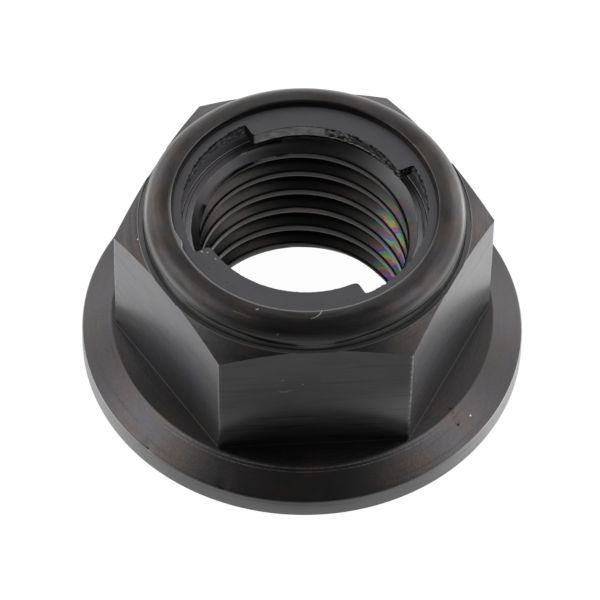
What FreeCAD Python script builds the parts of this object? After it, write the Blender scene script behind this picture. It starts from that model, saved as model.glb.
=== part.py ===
"""Flanged hexagon lock nut with a friction ring clinched into its collar.

Millimetres. +Z runs up the thread axis, from the flange's bearing face at z = 0 to
the rolled lip of the collar. Two corners of the hexagon lie on the X axis. The bore
is plain, at the thread's minor radius.
"""
import FreeCAD, Part
import math
import os
import Sketcher

from FreeCAD import Placement, Rotation, Vector

# Driving dimensions: alias, value in millimetres or degrees, what it sizes
DIMENSIONS = [
    ("hexWidth", 14.0, "hexagon across flats"),
    ("hexHeight", 6.31, "hexagon above the flange, up to the start of its cone"),
    ("hexCornerRadius", 0.1, "edge break on the corners of the hexagon"),
    ("hexFootRadius", 0.08, "fillet between the flats and the flange"),
    ("hexConeAngle", 30.0, "fall of the cone over the corners, degrees"),
    ("hexConeMargin", 0.05, "start of the cone outside the flats"),
    ("rimHeight", 1.0, "upright rim of the flange"),
    ("rimBreak", 0.1, "bevel under the rim"),
    ("flangeRise", 0.86, "rise of the flange's slope above the rim"),
    ("flangeSlope", 1.3, "width of the flange's slope"),
    ("flangeTopMargin", 0.117, "level top of the flange outside the hexagon's corners"),
    ("boreRadius", 4.4, "minor radius of the thread, M10 x 1.25"),
    ("mouthWidth", 0.8, "width and depth of the countersink in the bearing face"),
    ("leadInWidth", 0.4, "width and depth of the lead-in above the thread"),
    ("reliefDepth", 0.73, "relief bore below the ring"),
    ("reliefMargin", 0.05, "relief bore outside the ring's inner edge"),
    ("ringThickness", 0.58, "sheet of the friction ring"),
    ("ringGapMargin", 0.8, "ring's inner edge outside the thread's minor radius"),
    ("ringBand", 0.85, "width of the ring between its tabs"),
    ("ringEdgeClearance", 0.05, "slot outside the ring's outer edge"),
    ("ringTabMargin", 0.08, "tabs outside the thread's minor radius"),
    ("ringTabSpan", 91.5, "angle that one tab spans, degrees"),
    ("ringTabDirection", 69.5, "direction of the first tab's middle, degrees"),
    ("ringTabCount", 2, "number of tabs"),
    ("ringTabCorner", 0.2, "rounded free corners of the tabs"),
    ("ringTabRoot", 0.12, "rounded roots of the tabs"),
    ("collarWall", 0.715, "collar around the ring's slot"),
    ("collarSide", 0.454, "upright side of the collar above the ledge"),
    ("collarEdgeRadius", 0.5, "outer bend of the rolled collar"),
    ("collarEdgeSweep", 38.0, "angle of the outer bend, degrees"),
    ("collarCrownRadius", 1.14, "crown of the rolled collar"),
    ("collarCrownSweep", 58.0, "angle of the crown, degrees"),
    ("shoulderDepth", 0.07, "step from the cone down to the ledge around the collar"),
    ("lipHeight", 0.3, "lip's edge above the ring"),
    ("lipLean", 0.135, "inward lean of the lip's inner wall, down to the ring"),
]

doc = FreeCAD.newDocument("lock_nut")
sheet = doc.addObject("Spreadsheet::Sheet", "Sizes")
for row, (alias, value, note) in enumerate(DIMENSIONS, start=1):
    sheet.set("A%d" % row, alias)
    sheet.set("B%d" % row, str(value))
    sheet.set("C%d" % row, note)
    sheet.setAlias("B%d" % row, alias)
doc.recompute()


class Formula:
    """A number together with the expression that ties it to the sheet."""

    def __init__(self, value, text):
        self.value = float(value)
        self.text = text

    def __add__(self, other):
        return Formula(self.value + other.value, "(%s + %s)" % (self.text, other.text))

    def __sub__(self, other):
        return Formula(self.value - other.value, "(%s - %s)" % (self.text, other.text))

    def __mul__(self, other):
        return Formula(self.value * other.value, "(%s * %s)" % (self.text, other.text))

    def __truediv__(self, other):
        return Formula(self.value / other.value, "(%s / %s)" % (self.text, other.text))

    def __neg__(self):
        return Formula(-self.value, "(-1 * %s)" % self.text)


def number(value):
    """A plain number as a formula."""
    return Formula(value, str(value))


def size(alias):
    """One named size of the sheet as a formula."""
    return Formula(getattr(sheet, alias), "Sizes." + alias)


def sine(angle):
    return Formula(math.sin(math.radians(angle.value)), "sin(%s * 1 deg)" % angle.text)


def cosine(angle):
    return Formula(math.cos(math.radians(angle.value)), "cos(%s * 1 deg)" % angle.text)


def tangent(angle):
    return Formula(math.tan(math.radians(angle.value)), "tan(%s * 1 deg)" % angle.text)


# Radii, worked out from the bore outwards
ZERO = number(0)
TWO = number(2)
mouth_radius = size("boreRadius") + size("mouthWidth")
lead_in_radius = size("boreRadius") + size("leadInWidth")
tab_radius = size("boreRadius") + size("ringTabMargin")
gap_radius = size("boreRadius") + size("ringGapMargin")
relief_radius = gap_radius + size("reliefMargin")
ring_radius = gap_radius + size("ringBand")
slot_radius = ring_radius + size("ringEdgeClearance")
collar_radius = slot_radius + size("collarWall")
cone_radius = size("hexWidth") / TWO + size("hexConeMargin")
corner_radius = size("hexWidth") / TWO / cosine(number(30))
flat_top_radius = corner_radius + size("flangeTopMargin")
flange_radius = flat_top_radius + size("flangeSlope")

# Heights, worked out from the bearing face upwards
flange_top = size("rimHeight") + size("flangeRise")
hex_crest = flange_top + size("hexHeight")
shoulder_height = hex_crest - size("shoulderDepth")
collar_side_top = shoulder_height + size("collarSide")
cone_fall = (flat_top_radius - cone_radius) * tangent(size("hexConeAngle"))

# The rolled collar ends in two tangent arcs: an outer bend, then a wider crown
bend_step = size("collarCrownRadius") - size("collarEdgeRadius")
bend_radius = collar_radius - size("collarEdgeRadius")
crown_centre_radius = bend_radius - bend_step * cosine(size("collarEdgeSweep"))
crown_centre_height = collar_side_top - bend_step * sine(size("collarEdgeSweep"))
lip_angle = size("collarEdgeSweep") + size("collarCrownSweep")
lip_radius = crown_centre_radius + size("collarCrownRadius") * cosine(lip_angle)
lip_top = crown_centre_height + size("collarCrownRadius") * sine(lip_angle)

# The ring lies between its seat and the lip, with the relief bore below it
ring_top = lip_top - size("lipHeight")
ring_seat = ring_top - size("ringThickness")
relief_floor = ring_seat - size("reliefDepth")
thread_top = relief_floor - size("leadInWidth")


def new_body(name):
    """An empty body whose label names its file."""
    body = doc.addObject("PartDesign::Body", name)
    body.Label = name
    return body


def new_sketch(body, plane_role, name):
    """A sketch on one of the body's own origin planes."""
    sketch = body.newObject("Sketcher::SketchObject", name)
    planes = {feature.Role: feature for feature in body.Origin.OriginFeatures}
    sketch.AttachmentSupport = [(planes[plane_role], "")]
    sketch.MapMode = "FlatFace"
    return sketch


def dimension(sketch, kind, where, formula):
    """A dimension in the sketch, tied to its formula. Angles are in degrees."""
    angular = kind == "Angle"
    value = math.radians(formula.value) if angular else formula.value
    index = sketch.addConstraint(Sketcher.Constraint(kind, *where, value))
    text = formula.text + " * 1 deg" if angular else formula.text
    sketch.setExpression("Constraints[%d]" % index, text)


def fix_point(sketch, geometry, end, across, up):
    """Ties a point to its two distances from the sketch's origin."""
    if across is ZERO:
        sketch.addConstraint(Sketcher.Constraint("PointOnObject", geometry, end, -2))
    else:
        dimension(sketch, "DistanceX", (-1, 1, geometry, end), across)
    if up is ZERO:
        sketch.addConstraint(Sketcher.Constraint("PointOnObject", geometry, end, -1))
    else:
        dimension(sketch, "DistanceY", (-1, 1, geometry, end), up)


def add_line(sketch, start, end):
    """A line between two points that are given as pairs of formulas."""
    ends = [Vector(across.value, up.value, 0) for across, up in (start, end)]
    return sketch.addGeometry(Part.LineSegment(*ends), False)


def add_arc(sketch, centre, radius, start_angle, end_angle):
    """An arc that runs anticlockwise between two angles in degrees."""
    middle = Vector(centre[0].value, centre[1].value, 0)
    circle = Part.Circle(middle, Vector(0, 0, 1), radius.value)
    angles = [math.radians(angle.value) for angle in (start_angle, end_angle)]
    return sketch.addGeometry(Part.ArcOfCircle(circle, *angles), False)


def join(sketch, first, second):
    """Joins the end of one piece of the outline to the start of the next."""
    sketch.addConstraint(Sketcher.Constraint("Coincident", first, 2, second, 1))


def polygon(body, plane_role, name, corners):
    """A sketch of one closed outline with straight sides."""
    sketch = new_sketch(body, plane_role, name)
    following = corners[1:] + corners[:1]
    sides = [add_line(sketch, *ends) for ends in zip(corners, following)]
    for side, following_side in zip(sides, sides[1:] + sides[:1]):
        join(sketch, side, following_side)
    for side, corner in zip(sides, corners):
        fix_point(sketch, side, 1, *corner)
    return sketch


def add_feature(body, kind, name, sketch=None):
    """A feature at the end of the body's history."""
    feature = body.newObject("PartDesign::" + kind, name)
    if sketch is not None:
        feature.Profile = sketch
        sketch.Visibility = False
    body.Tip = feature
    return feature


def pad(body, name, sketch, length):
    """The outline drawn up to a length."""
    feature = add_feature(body, "Pad", name, sketch)
    feature.setExpression("Length", length.text)
    doc.recompute()
    return feature


def turned(body, kind, name, sketch):
    """The outline turned fully about the body's axis, added or cut away."""
    feature = add_feature(body, kind, name, sketch)
    feature.ReferenceAxis = (sketch, ["V_Axis"])
    feature.Angle = 360
    doc.recompute()
    return feature


def fillet(body, name, base, radius, belongs):
    """Rounds every edge of the base feature for which the test holds."""
    edges = enumerate(base.Shape.Edges, start=1)
    names = ["Edge%d" % index for index, edge in edges if belongs(edge)]
    feature = add_feature(body, "Fillet", name)
    feature.Base = (base, names)
    feature.setExpression("Radius", radius.text)
    doc.recompute()
    return feature


def is_upright(edge):
    """True for an edge that runs along Z."""
    start, end = edge.Vertexes[0].Point, edge.Vertexes[-1].Point
    rise = abs(end.z - start.z)
    return rise > 0 and math.isclose(rise, edge.Length, rel_tol=1e-6)


def lies_at(edge, height):
    """True for an edge whose ends are both at the height."""
    return all(math.isclose(vertex.Z, height.value, abs_tol=1e-5) for vertex in edge.Vertexes)


def reach(edge):
    """Largest distance of the edge's ends from the axis."""
    return max(math.hypot(vertex.X, vertex.Y) for vertex in edge.Vertexes)


def hexagon_sketch(body, name):
    """A regular hexagon about the axis with two corners on the X axis."""
    sketch = new_sketch(body, "XY_Plane", name)
    reach_of_corners = Part.Circle(Vector(0, 0, 0), Vector(0, 0, 1), corner_radius.value)
    circle = sketch.addGeometry(reach_of_corners, True)
    sketch.addConstraint(Sketcher.Constraint("Coincident", circle, 3, -1, 1))
    directions = [math.radians(60 * step) for step in range(6)]
    corners = [Vector(math.cos(turn), math.sin(turn), 0) * corner_radius.value for turn in directions]
    sides = []
    for start, end in zip(corners, corners[1:] + corners[:1]):
        sides.append(sketch.addGeometry(Part.LineSegment(start, end), False))
    for side, following_side in zip(sides, sides[1:] + sides[:1]):
        join(sketch, side, following_side)
        sketch.addConstraint(Sketcher.Constraint("PointOnObject", side, 1, circle))
    for side in sides[1:]:
        sketch.addConstraint(Sketcher.Constraint("Equal", sides[0], side))
    sketch.addConstraint(Sketcher.Constraint("PointOnObject", sides[0], 1, -1))
    # the second side faces +Y, and the fifth side faces it across the bore
    dimension(sketch, "DistanceY", (sides[4], 1, sides[1], 1), size("hexWidth"))
    return sketch


def collar_sketch(body, name):
    """Section of the collar: its side, the rolled crown and lip, the slot and the seat."""
    sketch = new_sketch(body, "XZ_Plane", name)
    base_axis = (ZERO, shoulder_height)
    base_edge = (collar_radius, shoulder_height)
    side_top = (collar_radius, collar_side_top)
    lip_edge = (lip_radius, lip_top)
    lip_foot = (lip_radius - size("lipLean"), ring_top)
    slot_top = (slot_radius, ring_top)
    slot_bottom = (slot_radius, ring_seat)
    seat_axis = (ZERO, ring_seat)

    base = add_line(sketch, base_axis, base_edge)
    side = add_line(sketch, base_edge, side_top)
    bend_centre = (bend_radius, collar_side_top)
    bend = add_arc(sketch, bend_centre, size("collarEdgeRadius"), ZERO, size("collarEdgeSweep"))
    crown_centre = (crown_centre_radius, crown_centre_height)
    crown = add_arc(sketch, crown_centre, size("collarCrownRadius"), size("collarEdgeSweep"), lip_angle)
    lip = add_line(sketch, lip_edge, lip_foot)
    underside = add_line(sketch, lip_foot, slot_top)
    slot = add_line(sketch, slot_top, slot_bottom)
    seat = add_line(sketch, slot_bottom, seat_axis)
    axis = add_line(sketch, seat_axis, base_axis)

    for first, second in ((base, side), (crown, lip), (lip, underside), (underside, slot)):
        join(sketch, first, second)
    for first, second in ((slot, seat), (seat, axis), (axis, base)):
        join(sketch, first, second)
    sketch.addConstraint(Sketcher.Constraint("Tangent", side, 2, bend, 1))
    sketch.addConstraint(Sketcher.Constraint("Tangent", bend, 2, crown, 1))
    dimension(sketch, "Radius", (bend,), size("collarEdgeRadius"))
    dimension(sketch, "Angle", (bend,), size("collarEdgeSweep"))
    dimension(sketch, "Radius", (crown,), size("collarCrownRadius"))
    dimension(sketch, "Angle", (crown,), size("collarCrownSweep"))
    fix_point(sketch, base, 1, *base_axis)
    fix_point(sketch, side, 1, *base_edge)
    fix_point(sketch, side, 2, *side_top)
    fix_point(sketch, underside, 1, *lip_foot)
    fix_point(sketch, slot, 1, *slot_top)
    fix_point(sketch, seat, 1, *slot_bottom)
    fix_point(sketch, axis, 1, *seat_axis)
    return sketch


def make_nut_body():
    """The one-piece nut: hexagon on a sloping flange, rolled collar, stepped bore."""
    body = new_body("nut_body")
    hexagon = pad(body, "hexagon", hexagon_sketch(body, "hexagon_outline"), hex_crest)
    corners = fillet(body, "hexagon_corners", hexagon, size("hexCornerRadius"), is_upright)

    flange_section = polygon(body, "XZ_Plane", "flange_section", [
        (ZERO, ZERO),
        (flange_radius - size("rimBreak"), ZERO),
        (flange_radius, size("rimBreak")),
        (flange_radius, size("rimHeight")),
        (flat_top_radius, flange_top),
        (ZERO, flange_top),
    ])
    flange = turned(body, "Revolution", "flange", flange_section)

    def is_foot(edge):
        return lies_at(edge, flange_top) and reach(edge) < corner_radius.value

    fillet(body, "hexagon_foot", flange, size("hexFootRadius"), is_foot)

    cone_section = polygon(body, "XZ_Plane", "cone_section", [
        (cone_radius, hex_crest),
        (flat_top_radius, hex_crest - cone_fall),
        (flat_top_radius, hex_crest),
    ])
    turned(body, "Groove", "hexagon_cone", cone_section)

    shoulder_section = polygon(body, "XZ_Plane", "shoulder_section", [
        (collar_radius, shoulder_height),
        (cone_radius, shoulder_height),
        (cone_radius, hex_crest),
        (collar_radius, hex_crest),
    ])
    turned(body, "Groove", "shoulder", shoulder_section)
    turned(body, "Revolution", "collar", collar_sketch(body, "collar_section"))

    bore_section = polygon(body, "XZ_Plane", "bore_section", [
        (ZERO, ZERO),
        (mouth_radius, ZERO),
        (size("boreRadius"), size("mouthWidth")),
        (size("boreRadius"), thread_top),
        (lead_in_radius, relief_floor),
        (relief_radius, relief_floor),
        (relief_radius, ring_seat),
        (ZERO, ring_seat),
    ])
    turned(body, "Groove", "bore", bore_section)
    return body


def tab_sketch(body, name):
    """One tab: a sector about the X axis that starts halfway across the ring's band."""
    sketch = new_sketch(body, "XY_Plane", name)
    half_span = size("ringTabSpan") / TWO
    outer_radius = gap_radius + size("ringBand") / TWO
    centre = (ZERO, ZERO)
    inner = add_arc(sketch, centre, tab_radius, -half_span, half_span)
    outer = add_arc(sketch, centre, outer_radius, -half_span, half_span)
    for arc in (inner, outer):
        sketch.addConstraint(Sketcher.Constraint("Coincident", arc, 3, -1, 1))
    corners = []
    for radius in (tab_radius, outer_radius):
        corners.append((radius * cosine(half_span), radius * sine(half_span)))
    below = [(across, -up) for across, up in corners]
    upper_end = add_line(sketch, corners[0], corners[1])
    lower_end = add_line(sketch, below[0], below[1])
    for arc, point in ((inner, 1), (outer, 2)):
        sketch.addConstraint(Sketcher.Constraint("Coincident", arc, 2, upper_end, point))
        sketch.addConstraint(Sketcher.Constraint("Coincident", arc, 1, lower_end, point))
        sketch.addConstraint(Sketcher.Constraint("Vertical", upper_end, point, lower_end, point))
    fix_point(sketch, upper_end, 1, *corners[0])
    fix_point(sketch, upper_end, 2, *corners[1])
    return sketch


def make_friction_ring():
    """The stamped ring: a flat band with two wide tabs that grip the bolt's thread."""
    body = new_body("friction_ring")
    band_sketch = new_sketch(body, "XY_Plane", "band_outline")
    for radius in (ring_radius, gap_radius):
        edge = Part.Circle(Vector(0, 0, 0), Vector(0, 0, 1), radius.value)
        circle = band_sketch.addGeometry(edge, False)
        band_sketch.addConstraint(Sketcher.Constraint("Coincident", circle, 3, -1, 1))
        dimension(band_sketch, "Radius", (circle,), radius)
    pad(body, "band", band_sketch, size("ringThickness"))

    outline = tab_sketch(body, "tab_outline")
    tab = pad(body, "tab", outline, size("ringThickness"))
    tabs = add_feature(body, "PolarPattern", "tabs")
    tabs.Originals = [tab]
    tabs.Axis = (outline, ["N_Axis"])
    tabs.Angle = 360
    tabs.setExpression("Occurrences", size("ringTabCount").text)
    doc.recompute()

    def is_free_corner(edge):
        return is_upright(edge) and math.isclose(reach(edge), tab_radius.value, abs_tol=1e-4)

    def is_root(edge):
        return is_upright(edge) and math.isclose(reach(edge), gap_radius.value, abs_tol=1e-4)

    corners = fillet(body, "tab_corners", tabs, size("ringTabCorner"), is_free_corner)
    fillet(body, "tab_roots", corners, size("ringTabRoot"), is_root)

    direction = size("ringTabDirection")
    body.Placement = Placement(Vector(0, 0, ring_seat.value), Rotation(Vector(0, 0, 1), direction.value))
    body.setExpression(".Placement.Base.z", ring_seat.text)
    body.setExpression(".Placement.Rotation.Angle", direction.text + " * 1 deg")
    return body


def check_history(body):
    """Stops if an addition adds nothing or a cut takes nothing away."""
    volume = 0.0
    for feature in body.Group:
        if not feature.isDerivedFrom("PartDesign::Feature"):
            continue
        change = feature.Shape.Volume - volume
        volume = feature.Shape.Volume
        kind = feature.TypeId.split("::")[1]
        adds = kind in ("Pad", "Revolution", "PolarPattern")
        cuts = kind == "Groove"
        if change == 0 or (adds and change < 0) or (cuts and change > 0):
            raise RuntimeError("%s does nothing" % feature.Name)


bodies = [make_nut_body(), make_friction_ring()]
doc.recompute()
for item in doc.Objects:
    if "Invalid" in item.State or "Error" in item.State:
        raise RuntimeError("%s failed: %s" % (item.Name, item.State))
for body in bodies:
    if body.Shape.isNull() or not body.Shape.isValid():
        raise RuntimeError("%s has no valid shape" % body.Label)
    check_history(body)

os.makedirs("parts", exist_ok=True)
for body in bodies:
    body.Shape.exportStep("parts/%s.step" % body.Label)
    box = body.Shape.BoundBox
    print(body.Label, "volume %.3f" % body.Shape.Volume, "x %.3f to %.3f" % (box.XMin, box.XMax),
          "y %.3f to %.3f" % (box.YMin, box.YMax), "z %.3f to %.3f" % (box.ZMin, box.ZMax))
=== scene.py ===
"""Blackened flanged lock nut with a friction ring clinched into its collar."""
import math

import bmesh
import bpy
from mathutils import Matrix, Vector, noise


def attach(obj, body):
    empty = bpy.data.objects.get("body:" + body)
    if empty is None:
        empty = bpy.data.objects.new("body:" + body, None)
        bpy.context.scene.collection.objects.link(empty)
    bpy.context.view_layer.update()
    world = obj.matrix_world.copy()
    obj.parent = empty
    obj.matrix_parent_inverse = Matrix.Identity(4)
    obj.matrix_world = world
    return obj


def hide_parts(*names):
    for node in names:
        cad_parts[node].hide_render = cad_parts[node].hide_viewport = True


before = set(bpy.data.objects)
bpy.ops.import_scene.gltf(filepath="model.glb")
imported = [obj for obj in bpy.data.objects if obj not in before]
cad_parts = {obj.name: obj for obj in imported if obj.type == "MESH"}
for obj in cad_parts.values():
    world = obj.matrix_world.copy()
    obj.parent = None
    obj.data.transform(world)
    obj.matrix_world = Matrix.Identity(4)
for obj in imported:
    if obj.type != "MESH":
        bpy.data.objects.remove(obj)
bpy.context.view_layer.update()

scene = bpy.context.scene

# Nut: one piece of blackened steel. The flange, the cone over the corners and the collar are
# turned, the flats are milled and the bore is tapped. As the last step the collar's wall is
# rolled inwards over the friction ring. Sizes are in millimetres, heights from the bearing face.

STEPS = 288
FLANGE = 9.5
RIM_TOP = 1.0
FLANGE_TOP = 1.86
HEX_HALF = 7.0
HALF_SIDE = math.radians(30)
CORNER = HEX_HALF / math.cos(HALF_SIDE)
CORNER_ROUND = 0.1
HEX_FOOT = 0.045
HEX_CREST = 8.17
CONE_START = 7.05
CONE_SLOPE = math.tan(math.radians(30))
LEDGE = 8.10
COLLAR = 6.815
SLOT = 6.1
RING_SEAT = 8.4137
RING_TOP = 8.9937
RELIEF = 5.25
RELIEF_FLOOR = 7.684
MOUTH = 5.2
LEAD_IN = 0.4
THREAD_MINOR = 4.4
PITCH = 1.25
CREST_AT_X = 0.585

# The rolled collar's arcs: centre as radius and height, own radius, last angle in degrees
BEND, BEND_END = ((6.315, 8.554), 0.5), 38
CROWN, CROWN_END = ((5.8107, 8.16), 1.14), 94.5
LIP, LIP_END = ((5.7291, 9.1968), 0.1), 160

# What a point of the outline becomes once it has been turned
TURNED, WALL, CONE, THREAD_END = range(4)

# The first and second columns of points beside a corner are drawn in to these angles from it
COLUMN_DEGREES = 360 / STEPS
CROWDED = {1: math.radians(0.356), 2: math.radians(0.74)}
AT_CORNER = math.radians(0.1)


def arc(centre, radius, start, end, steps):
    """Points on an arc in the section, between two angles in degrees."""
    points = []
    for step in range(steps + 1):
        turn = math.radians(start + (end - start) * step / steps)
        points.append((centre[0] + radius * math.cos(turn), centre[1] + radius * math.sin(turn)))
    return points


def polar(point):
    """A point's distance from the axis, its direction and its height."""
    return math.hypot(point.x, point.y), math.atan2(point.y, point.x), point.z


def on_circle(radius, turn, height):
    """The point at a distance from the axis, a direction and a height."""
    return radius * math.cos(turn), radius * math.sin(turn), height


def spin_chain(bm, chain, rise=0.0):
    """Turns a chain of points about the axis, each (radius, height) or with zone and offset too."""
    zone = bm.verts.layers.int.get("zone") or bm.verts.layers.int.new("zone")
    offset = bm.verts.layers.float.get("offset") or bm.verts.layers.float.new("offset")
    verts = []
    for radius, height, *marks in chain:
        vert = bm.verts.new((radius, 0, height))
        vert[zone], vert[offset] = marks or (TURNED, 0.0)
        verts.append(vert)
    edges = [bm.edges.new(pair) for pair in zip(verts, verts[1:])]
    kept = set(bm.faces)
    bmesh.ops.spin(bm, geom=verts + edges, cent=(0, 0, 0), axis=(0, 0, 1), dvec=(0, 0, rise / STEPS),
                   angle=math.tau / 6, steps=STEPS // 6, use_merge=False, use_duplicate=False)
    # the other five sixths are copies, so that the hexagon's sides match
    sixth = [face for face in bm.faces if face not in kept]
    sixth_edges = list({edge for face in sixth for edge in face.edges})
    sixth_verts = list({vert for face in sixth for vert in face.verts})
    for turn in range(1, 6):
        copy = bmesh.ops.duplicate(bm, geom=sixth_verts + sixth_edges + sixth)["geom"]
        copied = [item for item in copy if isinstance(item, bmesh.types.BMVert)]
        about_axis = Matrix.Rotation(math.tau / 6 * turn, 3, "Z")
        bmesh.ops.rotate(bm, verts=copied, cent=(0, 0, 0), matrix=about_axis)
        bmesh.ops.translate(bm, verts=copied, vec=(0, 0, rise / 6 * turn))


def from_corner(turn):
    """Angle from the nearest corner of the hexagon."""
    return (turn + HALF_SIDE) % (2 * HALF_SIDE) - HALF_SIDE


def hexagon_limit(turn, offset=0.0):
    """Distance of the hexagon's side from the axis in a direction, corners rounded."""
    local = abs(from_corner(turn))
    reach = (HEX_HALF + offset) / math.cos(HALF_SIDE - local)
    if local < AT_CORNER:
        reach -= (CORNER_ROUND + offset) * (1 / math.cos(HALF_SIDE) - 1)
    return reach


def crowd_to_corner(turn, share):
    """Draws the two columns beside each corner in to where its rounding starts."""
    local = from_corner(turn)
    column = round(abs(math.degrees(local)) / COLUMN_DEGREES)
    if column not in CROWDED:
        return turn
    return turn + share * (math.copysign(CROWDED[column], local) - local)


def top_of_wall(radius):
    """Height where the cone or the ledge ends the hexagon's side at a radius."""
    if radius < CONE_START:
        return LEDGE
    return HEX_CREST - (radius - CONE_START) * CONE_SLOPE


# Section from the countersink out under the flange and up to the hexagon's foot
outline = [(MOUTH, 0.0), (5.25, 0.0), (7.3, 0.0), (9.37, 0.0)]
outline += [(9.4, 0.0), (9.425, 0.018), (9.48, 0.072), (9.498, 0.1)]
outline += [(FLANGE, 0.13), (FLANGE, 0.5), (FLANGE, 0.93)]
outline += arc((9.42, 0.954), 0.08, 10, 50, 4)
outline += [(9.33, 1.113), (8.9, 1.397), (8.4, 1.728), (8.26, 1.82)]
outline += [(8.225, 1.842), (8.19, 1.857)]

# Foot, wall, cone and ledge of the hexagon, as they are at its corners
for turn in range(270, 179, -15):
    out = HEX_FOOT + HEX_FOOT * math.cos(math.radians(turn))
    height = FLANGE_TOP + HEX_FOOT + HEX_FOOT * math.sin(math.radians(turn))
    outline.append((CORNER + out, height, WALL, out))
for height in (1.99, 3.0, 4.2, 5.4, 6.6, 7.3, 7.5, HEX_CREST):
    outline.append((CORNER, height, WALL, 0.0))
for radius in (8.06, 8.0, 7.9, 7.75, 7.6, 7.45, 7.3, 7.15, 7.08, CONE_START):
    outline.append((radius, top_of_wall(radius), CONE, 0.0))
for radius, height in ((CONE_START, 8.115), (7.04, LEDGE), (6.93, LEDGE), (6.825, LEDGE)):
    outline.append((radius, height, CONE, 0.0))

# Collar, lip, slot, seat and relief bore, down to the top of the thread
outline += [(COLLAR, 8.11), (COLLAR, 8.2), (COLLAR, 8.45)]
outline += arc(*BEND, 0, BEND_END, 8)
outline += arc(*CROWN, BEND_END, CROWN_END, 22)[1:]
outline += arc(*LIP, CROWN_END, LIP_END, 6)[1:]
outline += [(5.60, 9.12), (5.56, 9.0), (5.5565, RING_TOP), (5.8, RING_TOP)]
outline += [(SLOT, RING_TOP), (SLOT, 8.7), (SLOT, RING_SEAT), (5.7, RING_SEAT), (5.27, RING_SEAT)]
outline += [(RELIEF, 8.39), (RELIEF, 8.0), (RELIEF, 7.70), (5.235, RELIEF_FLOOR), (5.15, RELIEF_FLOOR)]
outline.append((THREAD_MINOR + LEAD_IN, RELIEF_FLOOR, THREAD_END, 0.0))

# One turn of the thread from crest to crest, as distances along the axis and radii
crest = arc((0.084, 4.60), 0.2, 270, 330, 5)
root = arc((PITCH / 2, 4.8635), 0.1365, 150, 30, 6)
flank = [(0.34, 4.643), (0.42, 4.781)]
thread_turn = [(-along, radius) for along, radius in reversed(crest)] + crest + flank + root
thread_turn += [(PITCH - along, radius) for along, radius in reversed(flank)]
CREST_START = thread_turn[0][0]

thread_chain = []
for turn in range(-2, 7):
    for along, radius in thread_turn:
        thread_chain.append((radius, CREST_AT_X + turn * PITCH + along))


def thread_radius(turn, height):
    """The thread's own radius in a direction and at a height."""
    along = (height - CREST_AT_X - PITCH * turn / math.tau - CREST_START) % PITCH + CREST_START
    following = thread_turn + [(CREST_START + PITCH, thread_turn[0][1])]
    for (low, low_radius), (high, high_radius) in zip(following, following[1:]):
        if low <= along <= high:
            return low_radius + (high_radius - low_radius) * (along - low) / (high - low)
    return THREAD_MINOR


# The thread ends in the countersink below and in the lead-in above
bm = bmesh.new()
spin_chain(bm, thread_chain, rise=PITCH)
for vert in bm.verts:
    radius, turn, level = polar(vert.co)
    height = min(max(level, 0.0), RELIEF_FLOOR)
    if height != level:
        radius = thread_radius(turn, height)
    mouth = MOUTH - height
    lead_in = THREAD_MINOR + LEAD_IN - (RELIEF_FLOOR - height)
    vert.co = on_circle(max(radius, mouth, lead_in), turn, height)

# The turned outline is drawn in to the hexagon's sides and to the thread's own end
spin_chain(bm, outline)
zone = bm.verts.layers.int["zone"]
offset = bm.verts.layers.float["offset"]
for vert in bm.verts:
    if vert[zone] == TURNED:
        continue
    radius, turn, height = polar(vert.co)
    if vert[zone] == THREAD_END:
        radius = max(thread_radius(turn, RELIEF_FLOOR), THREAD_MINOR + LEAD_IN)
    elif vert[zone] == WALL:
        turn = crowd_to_corner(turn, 1.0)
        radius = hexagon_limit(turn, vert[offset])
        height = min(height, top_of_wall(radius))
    else:
        share = max(0.0, min(1.0, (radius - CONE_START) / (CORNER - CONE_START)))
        crowded = crowd_to_corner(turn, share)
        if radius > hexagon_limit(crowded):
            crowded = crowd_to_corner(turn, 1.0)
            radius = hexagon_limit(crowded)
            height = top_of_wall(radius)
        turn = crowded
    vert.co = on_circle(radius, turn, height)
bmesh.ops.remove_doubles(bm, verts=bm.verts, dist=0.0008)
bmesh.ops.dissolve_degenerate(bm, edges=bm.edges, dist=0.0004)

# A small burr on the lip, by its direction in degrees, and two chips in the rim
BURR_START, BURR_END = -170, -159
BURR_RISE, BURR_FALL = 8, 3
BURR_REACH = 0.12
BURR_INSIDE = 5.75
BURR_ABOVE = 8.99
CHIPS = (((-7.05, -6.25, 1.02), 0.07), ((-4.02, -8.57, 1.02), 0.05))
CHIP_REACH = 0.22
for vert in bm.verts:
    radius, turn, height = polar(vert.co)
    turn = math.degrees(turn)
    if height > BURR_ABOVE and radius < BURR_INSIDE and BURR_START < turn < BURR_END:
        share = min((turn - BURR_START) / BURR_RISE, (BURR_END - turn) / BURR_FALL)
        share *= min(1, (BURR_INSIDE - radius) / 0.11)
        vert.co.xy *= 1 - BURR_REACH * share / radius
for chip, depth in CHIPS:
    for vert in bm.verts:
        away = (vert.co - Vector(chip)).length
        if away < CHIP_REACH:
            vert.co *= 1 - depth / FLANGE * (1 - away / CHIP_REACH)
bmesh.ops.recalc_face_normals(bm, faces=bm.faces)

MILLED, TAPPED = 1, 2
for face in bm.faces:
    radius, turn, height = polar(face.calc_center_median())
    if radius < MOUTH and 0.01 < height < RELIEF_FLOOR - 0.01:
        face.material_index = TAPPED
    elif radius > 6.95 and abs(face.normal.z) < 0.1 and height > FLANGE_TOP:
        face.material_index = MILLED


def make_object(bm, name):
    """An object in metres from a mesh in millimetres, smooth but for its sharp edges."""
    bmesh.ops.scale(bm, vec=(0.001, 0.001, 0.001), verts=bm.verts)
    mesh = bpy.data.meshes.new(name)
    bm.to_mesh(mesh)
    bm.free()
    mesh.shade_smooth()
    mesh.set_sharp_from_angle(angle=math.radians(32))
    made = bpy.data.objects.new(name, mesh)
    scene.collection.objects.link(made)
    return made


nut = make_object(bm, "threaded_nut")


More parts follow.
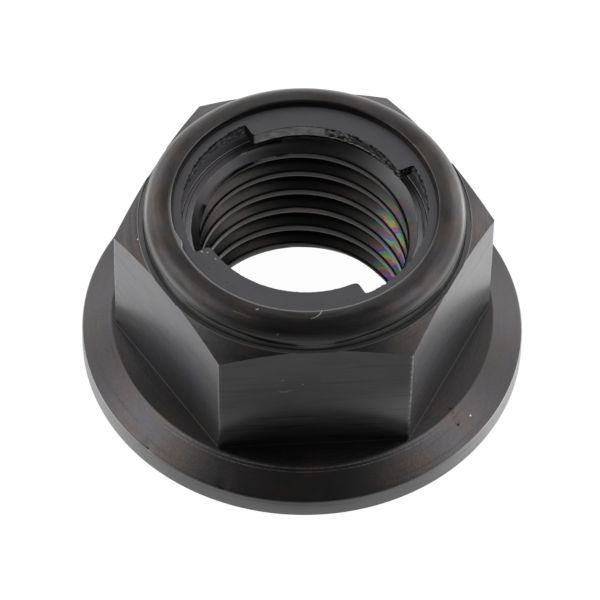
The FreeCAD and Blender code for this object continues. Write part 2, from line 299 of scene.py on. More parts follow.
def add_node(tree, kind, inputs=(), **settings):
    """A shader node with its settings made and its inputs set or linked."""
    made = tree.nodes.new("ShaderNode" + kind)
    for name, value in settings.items():
        setattr(made, name, value)
    for socket, value in dict(inputs).items():
        if isinstance(value, bpy.types.NodeSocket):
            tree.links.new(value, made.inputs[socket])
        else:
            made.inputs[socket].default_value = value
    return made


def maths(tree, operation, *values):
    """One calculation with numbers."""
    return add_node(tree, "Math", enumerate(values), operation=operation).outputs[0]


def product(tree, *values):
    """Several values multiplied together."""
    result = values[0]
    for value in values[1:]:
        result = maths(tree, "MULTIPLY", result, value)
    return result


def most(tree, *values):
    """The largest of several values."""
    largest = values[0]
    for value in values[1:]:
        largest = maths(tree, "MAXIMUM", largest, value)
    return largest


def vectors(tree, operation, *values):
    """One calculation with vectors."""
    return add_node(tree, "VectorMath", enumerate(values), operation=operation).outputs[0]


def scaled(tree, vector, factor):
    """A vector or a colour times a number."""
    return add_node(tree, "VectorMath", {0: vector, "Scale": factor}, operation="SCALE").outputs[0]


def measured(tree, operation, *values):
    """A number that is worked out from vectors."""
    return add_node(tree, "VectorMath", enumerate(values), operation=operation).outputs["Value"]


def toward(tree, direction, vector):
    """How far a vector reaches in a direction."""
    return measured(tree, "DOT_PRODUCT", vector, direction)


def parts(tree, vector):
    """The X, Y and Z of a vector."""
    return add_node(tree, "SeparateXYZ", {0: vector}).outputs


def smooth(tree, value, low, high, start=0.0, end=1.0):
    """Goes smoothly from start to end while the value goes from low to high."""
    inputs = {"Value": value, "From Min": low, "From Max": high, "To Min": start, "To Max": end}
    return add_node(tree, "MapRange", inputs, interpolation_type="SMOOTHSTEP").outputs[0]


def near(tree, value, middle, reach):
    """1 where the value is at the middle, 0 beyond the reach."""
    away = maths(tree, "ABSOLUTE", maths(tree, "SUBTRACT", value, middle))
    return smooth(tree, away, reach, reach * 0.4)


def blend(tree, share, first, second):
    """A colour between two others."""
    return add_node(tree, "Mix", {0: share, 6: first, 7: second}, data_type="RGBA").outputs[2]


def painted(tree, colour, *layers):
    """A colour with others laid over it in turn, each given as its share and itself."""
    for share, layer in layers:
        colour = blend(tree, share, colour, layer)
    return colour


def grain(tree, vector, scale, detail=2.0, along=None):
    """Noise from 0 to 1, in four dimensions where a fourth is given."""
    inputs = {"Vector": vector, "Scale": scale, "Detail": detail}
    if along is not None:
        inputs["W"] = along
    return add_node(tree, "TexNoise", inputs, noise_dimensions="3D" if along is None else "4D").outputs[0]


def drawn_out(tree, place, across, up, detail):
    """Noise in level streaks: the lower the scale across, the longer they are."""
    return grain(tree, vectors(tree, "MULTIPLY", place, (across, across, up)), 1.0, detail)


def round_axis(tree, place, turns, fine):
    """Coordinates for marks drawn out round the axis, their fourth one, and the radius."""
    outward = vectors(tree, "MULTIPLY", place, (1, 1, 0))
    radius = measured(tree, "LENGTH", outward)
    around = vectors(tree, "MULTIPLY", vectors(tree, "NORMALIZE", outward), (turns, turns, 0))
    height = vectors(tree, "MULTIPLY", place, (0, 0, fine))
    return vectors(tree, "ADD", around, height), maths(tree, "MULTIPLY", radius, fine), radius


def specks(tree, place, size, share):
    """Sparse round specks in cells of 1 / size mm, of which the given share stays empty."""
    cells = add_node(tree, "TexVoronoi", {"Vector": place, "Scale": size})
    chance = add_node(tree, "SeparateColor", {0: cells.outputs["Color"]}).outputs[0]
    picked = maths(tree, "GREATER_THAN", chance, share)
    return product(tree, smooth(tree, cells.outputs["Distance"], 0.03 * size, 0.015 * size), picked)


def scratch(tree, place, start, end, width, strength=1.0):
    """A fine straight scratch between two points in millimetres."""
    start, end = Vector(start), Vector(end)
    along = (end - start).normalized()
    offset = vectors(tree, "SUBTRACT", place, start)
    run = toward(tree, along, offset)
    inside = maths(tree, "MINIMUM", maths(tree, "MAXIMUM", run, 0.0), (end - start).length)
    away = measured(tree, "DISTANCE", offset, scaled(tree, along, inside))
    return smooth(tree, away, width, width * 0.4, 0.0, strength)


def scratched(tree, place, marks):
    """Several scratches, each given as its start, end, width and, if faint, its strength."""
    return most(tree, *[scratch(tree, place, *mark) for mark in marks])


def start_steel(name, gloss, haze=0.5):
    """A dark steel's material, with its tree, its shader and its coordinates in millimetres."""
    made = bpy.data.materials.new(name)
    made.use_nodes = True
    tree = made.node_tree
    shader = tree.nodes["Principled BSDF"]
    shader.inputs["Metallic"].default_value = 1.0
    shader.inputs["Coat Weight"].default_value = gloss
    shader.inputs["Coat Roughness"].default_value = haze
    shader.inputs["Coat IOR"].default_value = 1.5
    place = vectors(tree, "MULTIPLY", add_node(tree, "TexCoord").outputs["Object"], (1000, 1000, 1000))
    return made, tree, shader, place


def finish_steel(tree, shader, colour, rough, marks, depth):
    """Gives the shader its colour, its roughness and its marks, their depth in metres."""
    tree.links.new(colour, shader.inputs["Base Color"])
    tree.links.new(rough, shader.inputs["Roughness"])
    bump = add_node(tree, "Bump", {"Height": marks, "Distance": depth, "Strength": 1.0})
    tree.links.new(bump.outputs[0], shader.inputs["Normal"])


BLACK = (0.036, 0.034, 0.036, 1)
BROWN = (0.046, 0.036, 0.030, 1)
DARK_STAIN = (0.017, 0.015, 0.014, 1)
PALE_STAIN = (0.062, 0.056, 0.050, 1)
PALE_PAINTED_LIGHT = (0.120, 0.119, 0.120, 1)
RIM_SHEEN_LEFT = (0.300, 0.300, 0.298, 1)
RIM_SHEEN_RIGHT = (0.390, 0.390, 0.386, 1)
RELIEF_PAINTED_LIGHT = (0.190, 0.184, 0.194, 1)
OUTER_GROOVE, INNER_GROOVE = (0.02, 0.02, 0.02, 1), (0.03, 0.03, 0.03, 1)
LEDGE_FRONT_LIGHT = (0.090, 0.088, 0.086, 1)
FOOT, FOOT_FRONT_LIGHT = (0.066, 0.065, 0.064, 1), (0.078, 0.077, 0.076, 1)
FOOT_HIGHLIGHT = (0.210, 0.206, 0.202, 1)
DARK_LINE = (0.015, 0.013, 0.012, 1)
FILLET_SHADE = (0.004, 0.004, 0.004, 1)
CREASE_SHADE = (0.006, 0.006, 0.006, 1)
LEVEL_SHADE = (0.010, 0.010, 0.010, 1)
LIP_HIGHLIGHT = (0.150, 0.148, 0.150, 1)
CHIPPED = (0.008, 0.007, 0.007, 1)
GLINT_DIM = (0.120, 0.112, 0.104, 1)
GLINT_BRIGHT = (0.340, 0.320, 0.300, 1)
FRESH_SCRATCH = (0.28, 0.27, 0.26, 1)
BARE = (0.42, 0.40, 0.38, 1)

PHOTO_SIDE = (-0.087, -0.996, 0)
TURNED_SCRATCHES = (
    ((0.31, -5.66, 9.28), (0.25, -5.84, 9.30), 0.028),
    ((0.25, -5.84, 9.30), (0.08, -5.99, 9.29), 0.028),
    ((0.08, -5.99, 9.29), (-0.17, -6.09, 9.27), 0.024),
    ((-3.39, -5.38, 9.16), (-2.67, -5.78, 9.15), 0.022, 0.35),
    ((-2.41, -5.49, 9.29), (-2.34, -5.47, 9.29), 0.045),
    ((-1.62, -6.54, 8.85), (-1.55, -6.50, 8.88), 0.040),
    ((6.78, -5.66, 1.44), (6.80, -5.64, 1.44), 0.045),
    ((-7.09, -0.58, 8.13), (-7.07, -0.56, 8.13), 0.040),
)
RIM_CHIPS = (
    ((-7.11, -6.20, 1.05), (-7.00, -6.30, 1.05), 0.06),
    ((-4.10, -8.53, 1.03), (-3.94, -8.60, 1.03), 0.07),
)

# Turned steel: fine lines round the axis, the blacking browned in clouds
turned_steel, tree, shader, place = start_steel("turned_steel", 0.2)
marks, radial, radius = round_axis(tree, place, 2.5, 7.0)
lines = grain(tree, marks, 1.0, 3.0, radial)
cloud = grain(tree, place, 0.8, 4.0)
fine = grain(tree, place, 9.0, 3.0)
height = parts(tree, place)["Z"]
on_top = smooth(tree, height, 7.0, 7.4)
front_side = toward(tree, PHOTO_SIDE, place)
brown_front = smooth(tree, front_side, 3.0, 7.5, 0.3, 0.9)
brown_share = most(tree, product(tree, on_top, 0.7), brown_front)
browned = product(tree, smooth(tree, cloud, 0.40, 0.70), brown_share)
# lift: a random tone all over, and painted light that makes the flange lighter towards the front
lift = product(tree, smooth(tree, front_side, 2.0, 7.0, 0.0, 0.38), smooth(tree, height, 1.85, 1.81))
lift = maths(tree, "ADD", lift, smooth(tree, fine, 0.25, 0.75, 0.90, 1.12))
colour = scaled(tree, blend(tree, browned, BLACK, BROWN), lift)

# Stains round the top
stain_marks, stain_radial, radius = round_axis(tree, place, 3.0, 1.5)
stain = grain(tree, stain_marks, 1.0, 4.0, stain_radial)
stain_share = product(tree, on_top, 0.6)
dark_stain = product(tree, smooth(tree, stain, 0.50, 0.36), stain_share)
pale_stain = product(tree, smooth(tree, stain, 0.54, 0.68), stain_share)
colour = painted(tree, colour, (dark_stain, DARK_STAIN), (pale_stain, PALE_STAIN))

# The rim, the ledge round the collar and the relief's floor under the ring, painted paler and made rougher:
# painted light
on_rim = product(
    tree,
    smooth(tree, radius, FLANGE - 0.10, FLANGE - 0.06),
    smooth(tree, height, RIM_TOP + 0.03, RIM_TOP),
)
on_ledge = product(
    tree,
    smooth(tree, radius, COLLAR + 0.015, COLLAR + 0.045),
    smooth(tree, height, LEDGE - 0.04, LEDGE - 0.01),
    smooth(tree, radius, CONE_START + 0.04, CONE_START + 0.01),
)
in_relief = product(
    tree,
    smooth(tree, radius, RELIEF + 0.10, RELIEF + 0.05),
    smooth(tree, height, RELIEF_FLOOR - 0.024, RELIEF_FLOOR - 0.014),
)
pale_painted_light = most(tree, on_rim, on_ledge, in_relief)
# Painted sheen on the rim's sides and back, brighter on the right
rim_sheen = product(tree, on_rim, smooth(tree, front_side, 8.8, 4.0))
rim_right = smooth(tree, toward(tree, (1, 0, 0), place), 0.0, 5.0)
# Painted light on the ledge's front
ledge_front_light = product(tree, on_ledge, smooth(tree, front_side, 2.5, 5.5))
colour = painted(
    tree,
    colour,
    (pale_painted_light, PALE_PAINTED_LIGHT),
    (rim_sheen, blend(tree, rim_right, RIM_SHEEN_LEFT, RIM_SHEEN_RIGHT)),
    (in_relief, RELIEF_PAINTED_LIGHT),
    (product(tree, in_relief, near(tree, radius, 5.21, 0.03)), OUTER_GROOVE),
    (product(tree, in_relief, near(tree, radius, 5.05, 0.02)), INNER_GROOVE),
    (ledge_front_light, LEDGE_FRONT_LIGHT),
)

# The foot of the collar's wall, paler all round with painted light on its front, and the dark lines of the
# turning
on_foot = product(
    tree,
    smooth(tree, radius, 6.50, 6.64),
    smooth(tree, height, 8.98, 8.84),
    smooth(tree, radius, COLLAR + 0.015, COLLAR + 0.005),
    smooth(tree, height, LEDGE - 0.05, LEDGE - 0.01),
)
foot_top = smooth(tree, front_side, 6.2, 6.75, 8.50, 8.36)
above_foot = maths(tree, "SUBTRACT", height, foot_top)
# Painted highlight along the lowest band of the wall's foot, at the front
foot_highlight = product(tree, on_foot, smooth(tree, above_foot, 0.02, -0.04), smooth(tree, front_side, 2.5, 5.5))
wall_front_light = product(tree, smooth(tree, height, 8.55, 8.42), smooth(tree, front_side, 3.5, 6.0))
dark_line = product(tree, smooth(tree, lines, 0.42, 0.30), maths(tree, "MULTIPLY_ADD", on_top, 0.2, 0.3))
colour = painted(
    tree,
    colour,
    (on_foot, FOOT),
    (product(tree, on_foot, wall_front_light), FOOT_FRONT_LIGHT),
    (foot_highlight, FOOT_HIGHLIGHT),
    (dark_line, DARK_LINE),
)

# Painted shade in the creases beside the ledge and in the fillet at the hexagon's foot, painted
# highlights in two lines round the flange's top at the front, and painted shade on its level part at the
# front left
fillet_shade = product(
    tree,
    smooth(tree, height, FLANGE_TOP + 0.002, FLANGE_TOP + 0.012),
    smooth(tree, height, 1.98, 1.96),
    smooth(tree, front_side, 6.2, 6.8, 0.72, 0.97),
)
crease_shade = most(tree, near(tree, radius, 6.82, 0.018), near(tree, radius, CONE_START, 0.028))
crease_shade = product(tree, crease_shade, near(tree, height, LEDGE, 0.05))
front_glints = product(
    tree,
    most(tree, near(tree, radius, 8.30, 0.03), near(tree, radius, 8.43, 0.02)),
    smooth(tree, height, 2.0, 1.9),
    smooth(tree, front_side, 5.0, 7.5),
    smooth(tree, fine, 0.3, 0.7, 0.2, 0.8),
)
level_shade = product(
    tree,
    smooth(tree, height, FLANGE_TOP - 0.015, FLANGE_TOP - 0.005),
    smooth(tree, height, 1.98, 1.90),
    smooth(tree, toward(tree, (-0.6, -0.8, 0), place), 5.6, 7.4, 0.0, 0.6),
)
colour = painted(
    tree,
    colour,
    (fillet_shade, FILLET_SHADE),
    (product(tree, crease_shade, 0.85), CREASE_SHADE),
    (front_glints, blend(tree, smooth(tree, front_side, 7.4, 8.2), GLINT_DIM, GLINT_BRIGHT)),
    (level_shade, LEVEL_SHADE),
)

# Wear: scratches, chips and dust, and a painted highlight along the lip's edge at the front and left
lip_edge = product(tree, smooth(tree, radius, 5.80, 5.72), smooth(tree, height, 9.18, 9.21))
lip_highlight = product(tree, lip_edge, smooth(tree, toward(tree, (-0.3, -0.95, 0), place), -1.0, 4.5))
broad_chip = scratch(tree, place, (5.90, -5.56, 1.84), (6.20, -6.12, 1.54), 0.16)
broad_chip = product(tree, broad_chip, smooth(tree, fine, 0.50, 0.58))
colour = painted(
    tree,
    colour,
    (lip_highlight, LIP_HIGHLIGHT),
    (scratched(tree, place, TURNED_SCRATCHES), FRESH_SCRATCH),
    (most(tree, scratched(tree, place, RIM_CHIPS), broad_chip), CHIPPED),
    (product(tree, specks(tree, place, 0.9, 0.8), 0.5), BARE),
)
rough = maths(tree, "MULTIPLY_ADD", cloud, 0.2, 0.11)
rough = maths(tree, "MULTIPLY_ADD", pale_painted_light, 0.25, rough)
rough = maths(tree, "MULTIPLY_ADD", most(tree, ledge_front_light, foot_highlight), 0.3, rough)
marks = maths(tree, "ADD", lines, product(tree, fine, 0.35))
finish_steel(tree, shader, colour, rough, marks, 0.000010)

# Milled steel of the flats: streaks across them, bluish beside the front flat, worn at the corners
MILLED_SCRATCHES = (
    ((-1.51, -7.0, 5.55), (-1.18, -7.0, 5.52), 0.024),
    ((-1.20, -7.0, 5.60), (-1.00, -7.0, 5.58), 0.020),
    ((-1.42, -7.0, 6.32), (-1.36, -7.0, 6.30), 0.030),
    ((-0.55, -7.0, 6.02), (-0.50, -7.0, 5.98), 0.026),
)
milled_steel, tree, shader, place = start_steel("milled_steel", 1.0, 0.2)
split = parts(tree, place)
lines = drawn_out(tree, place, 0.35, 8.0, 4.0)
streaks = drawn_out(tree, place, 0.28, 2.2, 3.0)
cloud = smooth(tree, grain(tree, place, 0.5, 3.0), 0.3, 0.7)
radius = measured(tree, "LENGTH", vectors(tree, "MULTIPLY", place, (1, 1, 0)))
worn = product(
    tree,
    smooth(tree, radius, 8.02, 8.06),
    smooth(tree, grain(tree, place, 5.0), 0.48, 0.6),
    smooth(tree, split["X"], 0.0, 4.0, 0.05, 0.3),
)
beside = smooth(tree, maths(tree, "ABSOLUTE", split["X"]), 3.9, 4.6)
colour = painted(
    tree,
    blend(tree, cloud, (0.036, 0.036, 0.039, 1), (0.053, 0.053, 0.053, 1)),
    (smooth(tree, lines, 0.44, 0.28), (0.018, 0.018, 0.020, 1)),
    (worn, BARE),
    (product(tree, smooth(tree, streaks, 0.48, 0.60), beside), (0.036, 0.038, 0.054, 1)),
    (product(tree, smooth(tree, streaks, 0.48, 0.36), 0.5), (0.022, 0.022, 0.025, 1)),
)
# Painted light on the flats beside the front one: darker low down and lighter towards the top
side_flat_light = product(tree, smooth(tree, split["Z"], 2.8, 6.2, -0.3, 0.5), beside)
colour = painted(
    tree,
    scaled(tree, colour, maths(tree, "ADD", side_flat_light, 1.0)),
    (scratched(tree, place, MILLED_SCRATCHES), (0.26, 0.25, 0.24, 1)),
    (product(tree, specks(tree, place, 1.1, 0.8), 0.5), BARE),
)
rough = maths(tree, "MULTIPLY_ADD", streaks, 0.20, maths(tree, "MULTIPLY_ADD", lines, 0.25, 0.22))
waves = drawn_out(tree, place, 0.7, 2.5, 3.0)
marks = maths(tree, "MULTIPLY_ADD", waves, product(tree, beside, 3.2), lines)
finish_steel(tree, shader, colour, rough, marks, 0.000012)

# Tapped steel of the thread, with a thin film on its right side that shows rainbow colours
tapped_steel, tree, shader, place = start_steel("tapped_steel", 0.2)
marks, radial, radius = round_axis(tree, place, 2.0, 8.0)
lines = grain(tree, marks, 1.0, 3.0, radial)
cloud = grain(tree, place, 0.55, 3.0)
split = parts(tree, place)
turn = maths(tree, "ARCTAN2", split["Y"], split["X"])
drift = grain(tree, place, 1.1, 2.0)
film = maths(tree, "MULTIPLY_ADD", drift, 1.6, product(tree, split["Z"], 2.7))
hue = maths(tree, "FRACT", maths(tree, "MULTIPLY_ADD", turn, 2.4, film))
rainbow = add_node(tree, "CombineColor", {0: hue, 1: 0.66, 2: 0.130}, mode="HSV").outputs[0]
filmed = product(
    tree,
    smooth(tree, turn, 0.85, 0.45),
    smooth(tree, turn, -0.15, 0.05),
    smooth(tree, drift, 0.3, 0.5, 0.5, 1.0),
    smooth(tree, split["Z"], 6.3, 4.6, 0.12, 1.0),
)
# The thread's top, by the lead-in, is painted paler: painted light where the bore lies in shade
colour = painted(
    tree,
    blend(tree, smooth(tree, cloud, 0.45, 0.7), (0.024, 0.023, 0.022, 1), (0.043, 0.035, 0.034, 1)),
    (filmed, rainbow),
    (smooth(tree, split["Z"], 7.15, 7.35, 0.0, 0.8), (0.052, 0.050, 0.053, 1)),
)
finish_steel(tree, shader, colour, maths(tree, "MULTIPLY_ADD", cloud, 0.2, 0.15), lines, 0.000005)

for steel in (turned_steel, milled_steel, tapped_steel):
    nut.data.materials.append(steel)
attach(nut, "root")
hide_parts("nut_body")

# Friction ring: a flat ring with two wide tabs that grip the stud's thread. Stamping it from
# spring steel sheet leaves its edges partly clean and partly torn, and it is blackened like the
# nut. It lies on its seat in the collar, held down by the lip that is rolled over it.

RING_STEP = 0.5
BAND_INSIDE, BAND_OUTSIDE = 5.2, 6.05
BAND_RADII = (BAND_INSIDE, 5.24, 5.4, 5.7, BAND_OUTSIDE)
TAB_TIP = 4.48
TAB_RADII = (TAB_TIP, 4.49, 4.51, 4.54, 4.6, 4.68, 4.85, 5.08, 5.12, 5.16, 5.185, BAND_INSIDE)
TAB_SPAN = 91.5
TAB_MIDDLES = (69.5, 249.5)
TAB_CORNER = 0.2
TAB_ROOT = 0.12
EDGE_LEVELS = (8.955, 8.87, 8.76, 8.64, 8.52)
CLEAN_EDGE, TORN_EDGE, TORN_GAP = 0.012, 0.045, 0.055
TORN_FROM, TORN_TO = 18, 74


def spin_sector(bm, radii, start, span):
    """A flat sector between radii, in columns of equal angle."""
    verts = [bm.verts.new(on_circle(radius, math.radians(start), RING_TOP)) for radius in radii]
    edges = [bm.edges.new(pair) for pair in zip(verts, verts[1:])]
    full = span >= 360
    bmesh.ops.spin(bm, geom=verts + edges, cent=(0, 0, 0), axis=(0, 0, 1), angle=math.radians(span),
                   steps=round(span / RING_STEP), use_merge=full, use_duplicate=False)


def tab_side(radius):
    """How far the tab's side stands back at a radius, for its rounded corners and roots."""
    in_corner = TAB_CORNER - min(TAB_CORNER, max(0.0, radius - TAB_TIP))
    in_root = TAB_ROOT - min(TAB_ROOT, max(0.0, BAND_INSIDE - radius))
    back = TAB_CORNER - math.sqrt(TAB_CORNER ** 2 - in_corner ** 2)
    return back - (TAB_ROOT - math.sqrt(TAB_ROOT ** 2 - in_root ** 2))


bm = bmesh.new()
spin_sector(bm, BAND_RADII, TAB_MIDDLES[0] - TAB_SPAN / 2, 360)
for middle in TAB_MIDDLES:
    spin_sector(bm, TAB_RADII, middle - TAB_SPAN / 2, TAB_SPAN)
edge = TAB_SPAN / 2
for vert in bm.verts:
    radius, direction, height = polar(vert.co)
    if radius > BAND_INSIDE + 0.001:
        continue
    turn = (math.degrees(direction) - TAB_MIDDLES[0] + 90) % 180 - 90
    retreat = math.degrees(tab_side(radius) / radius)
    if abs(turn) < edge + 0.01:
        moved = turn * (1 - retreat / edge)
    else:
        moved = math.copysign(90 - (90 - abs(turn)) * (1 + retreat / (90 - edge)), turn)
    vert.co = on_circle(radius, direction + math.radians(moved - turn), height)
bmesh.ops.remove_doubles(bm, verts=bm.verts, dist=0.002)

made = bmesh.ops.extrude_face_region(bm, geom=list(bm.faces))
lowered = [item for item in made["geom"] if isinstance(item, bmesh.types.BMVert)]
bmesh.ops.translate(bm, vec=(0, 0, RING_SEAT - RING_TOP), verts=lowered)
for height in EDGE_LEVELS:
    everything = bm.verts[:] + bm.edges[:] + bm.faces[:]
    bmesh.ops.bisect_plane(bm, geom=everything, plane_co=(0, 0, height), plane_no=(0, 0, 1))
bmesh.ops.recalc_face_normals(bm, faces=bm.faces)

# The sheared edges: nearly clean on the tabs, torn on a part of one tab and in the gaps
for vert in bm.verts:
    radius, turn, height = polar(vert.co)
    on_sheet = min(height - RING_SEAT, RING_TOP - height) < 0.001
    if radius > BAND_INSIDE + 0.01 or on_sheet and len(vert.link_faces) > 4:
        continue
    if radius > BAND_INSIDE - 0.01:
        torn = TORN_GAP
    elif TORN_FROM < math.degrees(turn) < TORN_TO:
        torn = TORN_EDGE
    else:
        torn = CLEAN_EDGE
    push = torn * noise.noise(vert.co * 7) + torn * 0.7 * noise.noise(vert.co * 19)
    vert.co = (vert.co.x * (1 + push / radius), vert.co.y * (1 + push / radius), vert.co.z)

SHEARED = 1
bm.normal_update()
for face in bm.faces:
    radius, turn, height = polar(face.calc_center_median())
    if abs(face.normal.z) < 0.7 and radius < 5.3:
        face.material_index = SHEARED
ring = make_object(bm, "stamped_ring")

# Spring steel of the sheet, a little grey, with grit on its left side
GRIT = (
    ((-4.50, -2.04, 8.99), (-4.44, -2.10, 8.99), 0.028),
    ((-4.26, -2.12, 8.99), (-4.22, -2.15, 8.99), 0.028),
    ((-3.94, -2.48, 8.99), (-3.90, -2.50, 8.99), 0.028),
    ((-4.46, -1.86, 8.99), (-4.47, -1.94, 8.99), 0.030),
)
spring_steel, tree, shader, place = start_steel("spring_steel", 0.3)
fine = grain(tree, place, 12.0, 3.0)
cloud = grain(tree, place, 0.8, 3.0)
colour = painted(
    tree,
    blend(tree, cloud, (0.060, 0.057, 0.062, 1), (0.078, 0.075, 0.080, 1)),
    (product(tree, specks(tree, place, 1.3, 0.75), 0.6), BARE),
    (scratched(tree, place, GRIT), BARE),
)
finish_steel(tree, shader, colour, maths(tree, "MULTIPLY_ADD", fine, 0.2, 0.42), fine, 0.000004)

# Sheared steel of the ring's inner edges
CLEAN_DARK, CLEAN_LIGHT = (0.095, 0.094, 0.098, 1), (0.150, 0.148, 0.140, 1)
CLEAN_BELOW = (0.02, 0.02, 0.02, 1)
TORN_DARK, TORN_LIGHT = (0.008, 0.007, 0.007, 1), (0.20, 0.195, 0.19, 1)
TORN_LOWER_EDGE = (0.34, 0.33, 0.31, 1)
GAP_ABOVE, GAP_WALL_LIGHT = (0.010, 0.009, 0.009, 1), (0.20, 0.194, 0.204, 1)
GAP_STREAK = (0.014, 0.013, 0.013, 1)

sheared_steel, tree, shader, place = start_steel("sheared_steel", 0.3)
streaks, radial, radius = round_axis(tree, place, 14.0, 9.0)
tears = grain(tree, streaks, 1.0, 4.0, radial)
split = parts(tree, place)
turn = maths(tree, "ARCTAN2", split["Y"], split["X"])
in_gap = smooth(tree, radius, 5.05, 5.15)
torn = product(tree, smooth(tree, turn, 1.34, 1.26), smooth(tree, turn, 0.30, 0.34))
torn = most(tree, torn, in_gap)
clean = blend(tree, smooth(tree, tears, 0.4, 0.6), CLEAN_DARK, CLEAN_LIGHT)
clean = blend(tree, smooth(tree, split["Z"], 8.97, 8.93), CLEAN_BELOW, clean)
lower_edge = product(tree, smooth(tree, split["Z"], 8.50, 8.44), smooth(tree, in_gap, 0.6, 0.4))
ragged = blend(tree, smooth(tree, tears, 0.49, 0.60), TORN_DARK, TORN_LIGHT)
ragged = blend(tree, lower_edge, ragged, TORN_LOWER_EDGE)
# The walls in the gaps: dark at their top edge, and painted lighter below it as painted light
gap_wall = blend(tree, smooth(tree, split["Z"], 8.90, 8.70), GAP_ABOVE, GAP_WALL_LIGHT)
gap_wall = blend(tree, smooth(tree, tears, 0.52, 0.42, 0.0, 0.7), gap_wall, GAP_STREAK)
colour = blend(tree, torn, clean, blend(tree, in_gap, ragged, gap_wall))
rough = maths(tree, "MULTIPLY_ADD", torn, 0.15, 0.35)
marks = product(tree, tears, maths(tree, "MULTIPLY_ADD", torn, 0.85, 0.15))
finish_steel(tree, shader, colour, rough, marks, 0.00005)

for steel in (spring_steel, sheared_steel):
    ring.data.materials.append(steel)
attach(ring, "root")
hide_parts("friction_ring")

# Floor: a round sheet of white paper just under the bearing face, with sizes in metres. From
# below it is see-through. To the camera it glows white, but in what the steel mirrors it is
# dimmed in front of the nut, as by a dark card.

FLOOR_RADIUS = 0.027
FLOOR_DROP = 0.00002
PAPER = (0.9, 0.9, 0.9, 1)
GLOW_SHARE = 0.93
WHITE_STRENGTH = 1.05
AZIMUTH = math.radians(-5.055)

bm = bmesh.new()
bmesh.ops.create_circle(bm, cap_ends=True, segments=96, radius=FLOOR_RADIUS)
bmesh.ops.translate(bm, vec=(0, 0, -FLOOR_DROP), verts=bm.verts)
mesh = bpy.data.meshes.new("floor")
bm.to_mesh(mesh)
bm.free()
floor = bpy.data.objects.new("floor", mesh)
scene.collection.objects.link(floor)

paper = bpy.data.materials.new("white_paper")
paper.use_nodes = True
tree = paper.node_tree
shader = tree.nodes["Principled BSDF"]
shader.inputs["Base Color"].default_value = PAPER
shader.inputs["Roughness"].default_value = 0.8
path = add_node(tree, "LightPath").outputs
forward = Vector((math.sin(AZIMUTH), -math.cos(AZIMUTH), 0))
ahead = toward(tree, forward, add_node(tree, "TexCoord").outputs["Object"])
near_shade = smooth(tree, ahead, 0.0097, 0.0108, 1.0, 0.27)
shade = maths(tree, "ADD", near_shade, smooth(tree, ahead, 0.0110, 0.0128, 0.0, 0.25))
to_camera = product(tree, path["Is Camera Ray"], WHITE_STRENGTH)
glow = add_node(tree, "Emission", {"Strength": most(tree, shade, to_camera)})
share = product(tree, most(tree, path["Is Glossy Ray"], path["Is Camera Ray"]), GLOW_SHARE)
lit = add_node(tree, "MixShader", {0: share, 1: shader.outputs[0], 2: glow.outputs[0]})
below = add_node(tree, "NewGeometry").outputs["Backfacing"]
clear = add_node(tree, "BsdfTransparent").outputs[0]
one_sided = add_node(tree, "MixShader", {0: below, 1: lit.outputs[0], 2: clear})
tree.links.new(one_sided.outputs[0], tree.nodes["Material Output"].inputs["Surface"])
mesh.materials.append(paper)

# Camera: a long lens that looks down on the nut at the photograph's angle. The middle of the
# nut, 4 mm above the bearing face, lies a little off the middle of the frame, as it does there.

ELEVATION = math.radians(51.954)
ROLL = math.radians(1.34)
DISTANCE = 0.247363
MIDDLE = Vector((0, 0, 0.004))
MIDDLE_PIXEL = (303.214, 281.379)
FRAME_PIXELS = 600
FOCAL_PIXELS = 5781.97
SENSOR = 36
PIXEL = DISTANCE / FOCAL_PIXELS

back = Vector((
    math.sin(AZIMUTH) * math.cos(ELEVATION),
    -math.cos(AZIMUTH) * math.cos(ELEVATION),
    math.sin(ELEVATION),
))
right = Vector((math.cos(AZIMUTH), math.sin(AZIMUTH), 0))
up = back.cross(right)
tilted_right = right * math.cos(ROLL) + up * math.sin(ROLL)
tilted_up = up * math.cos(ROLL) - right * math.sin(ROLL)
look = MIDDLE + tilted_right * (FRAME_PIXELS / 2 - MIDDLE_PIXEL[0]) * PIXEL
look -= tilted_up * (FRAME_PIXELS / 2 - MIDDLE_PIXEL[1]) * PIXEL
stand = MIDDLE + back * DISTANCE

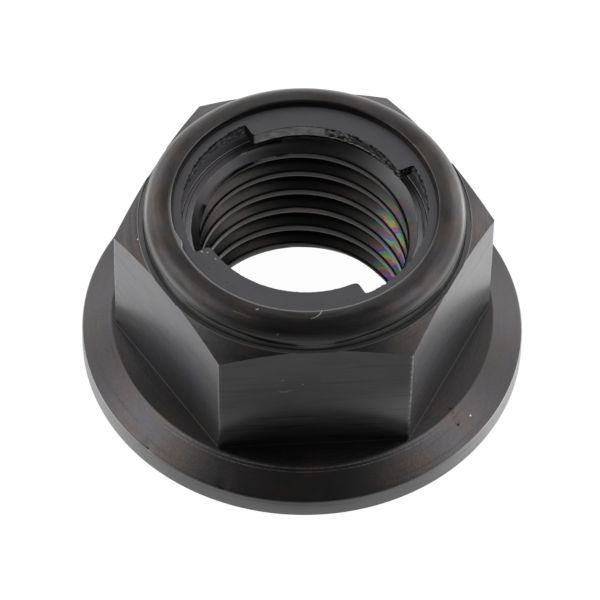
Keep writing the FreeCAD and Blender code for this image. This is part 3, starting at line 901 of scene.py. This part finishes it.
lens = bpy.data.cameras.new("camera")
lens.sensor_width = SENSOR
lens.lens = SENSOR * FOCAL_PIXELS / FRAME_PIXELS
lens.clip_start = 0.01
lens.clip_end = 10
camera = bpy.data.objects.new("camera", lens)
scene.collection.objects.link(camera)
aim = (look - stand).normalized().to_track_quat("-Z", "Y").to_matrix().to_4x4()
camera.matrix_world = Matrix.Translation(stand) @ (aim @ Matrix.Rotation(ROLL, 4, "Z"))
scene.camera = camera
scene.view_settings.view_transform = "Standard"

# Light: a soft glow from behind, dimmed overhead, and soft lobes on both sides, all in the
# world. Each lobe has degrees round from the front, degrees up, its strength on the left and
# on the right, and how tight it is. The backdrop is white to the camera alone.

BACKDROP = 0.8
AMBIENT = 0.16
LOBES = (
    (87, 41, 3.7, 3.3, 19),
    (87, -4, 3.4, 3.1, 10),
    (133, 18, 2.0, 2.3, 30),
    (130.5, -12, 2.8, 4.9, 40),
    (0, -12, 0.16, 0.16, 10),
)

world = bpy.data.worlds.new("studio")
scene.world = world
world.use_nodes = True
tree = world.node_tree
tree.nodes.clear()
sky = add_node(tree, "TexCoord").outputs["Generated"]
front = Vector((back.x, back.y, 0)).normalized()
behind = smooth(tree, toward(tree, -front, sky), -0.06, 0.34, 0.0, 1.25)
overhead = smooth(tree, toward(tree, Vector((0, 0, 1)), sky), 0.80, 1.05, 1.0, 0.3)
light = maths(tree, "MULTIPLY_ADD", behind, overhead, AMBIENT)
for across, height, left_strength, right_strength, tightness in LOBES:
    lift = math.radians(height)
    for side, strength in ((-1, left_strength), (1, right_strength)):
        turn = math.radians(across * side)
        level = front * math.cos(turn) + right * math.sin(turn)
        centre = level * math.cos(lift) + Vector((0, 0, math.sin(lift)))
        away = maths(tree, "MULTIPLY_ADD", toward(tree, centre, sky), tightness, -tightness)
        light = maths(tree, "MULTIPLY_ADD", maths(tree, "EXPONENT", away), strength, light)
to_camera = product(tree, add_node(tree, "LightPath").outputs["Is Camera Ray"], 1 / BACKDROP)
strength = most(tree, light, to_camera)
backdrop = add_node(tree, "Background", {"Color": (BACKDROP, BACKDROP, BACKDROP, 1), "Strength": strength})
tree.links.new(backdrop.outputs[0], add_node(tree, "OutputWorld").inputs["Surface"])
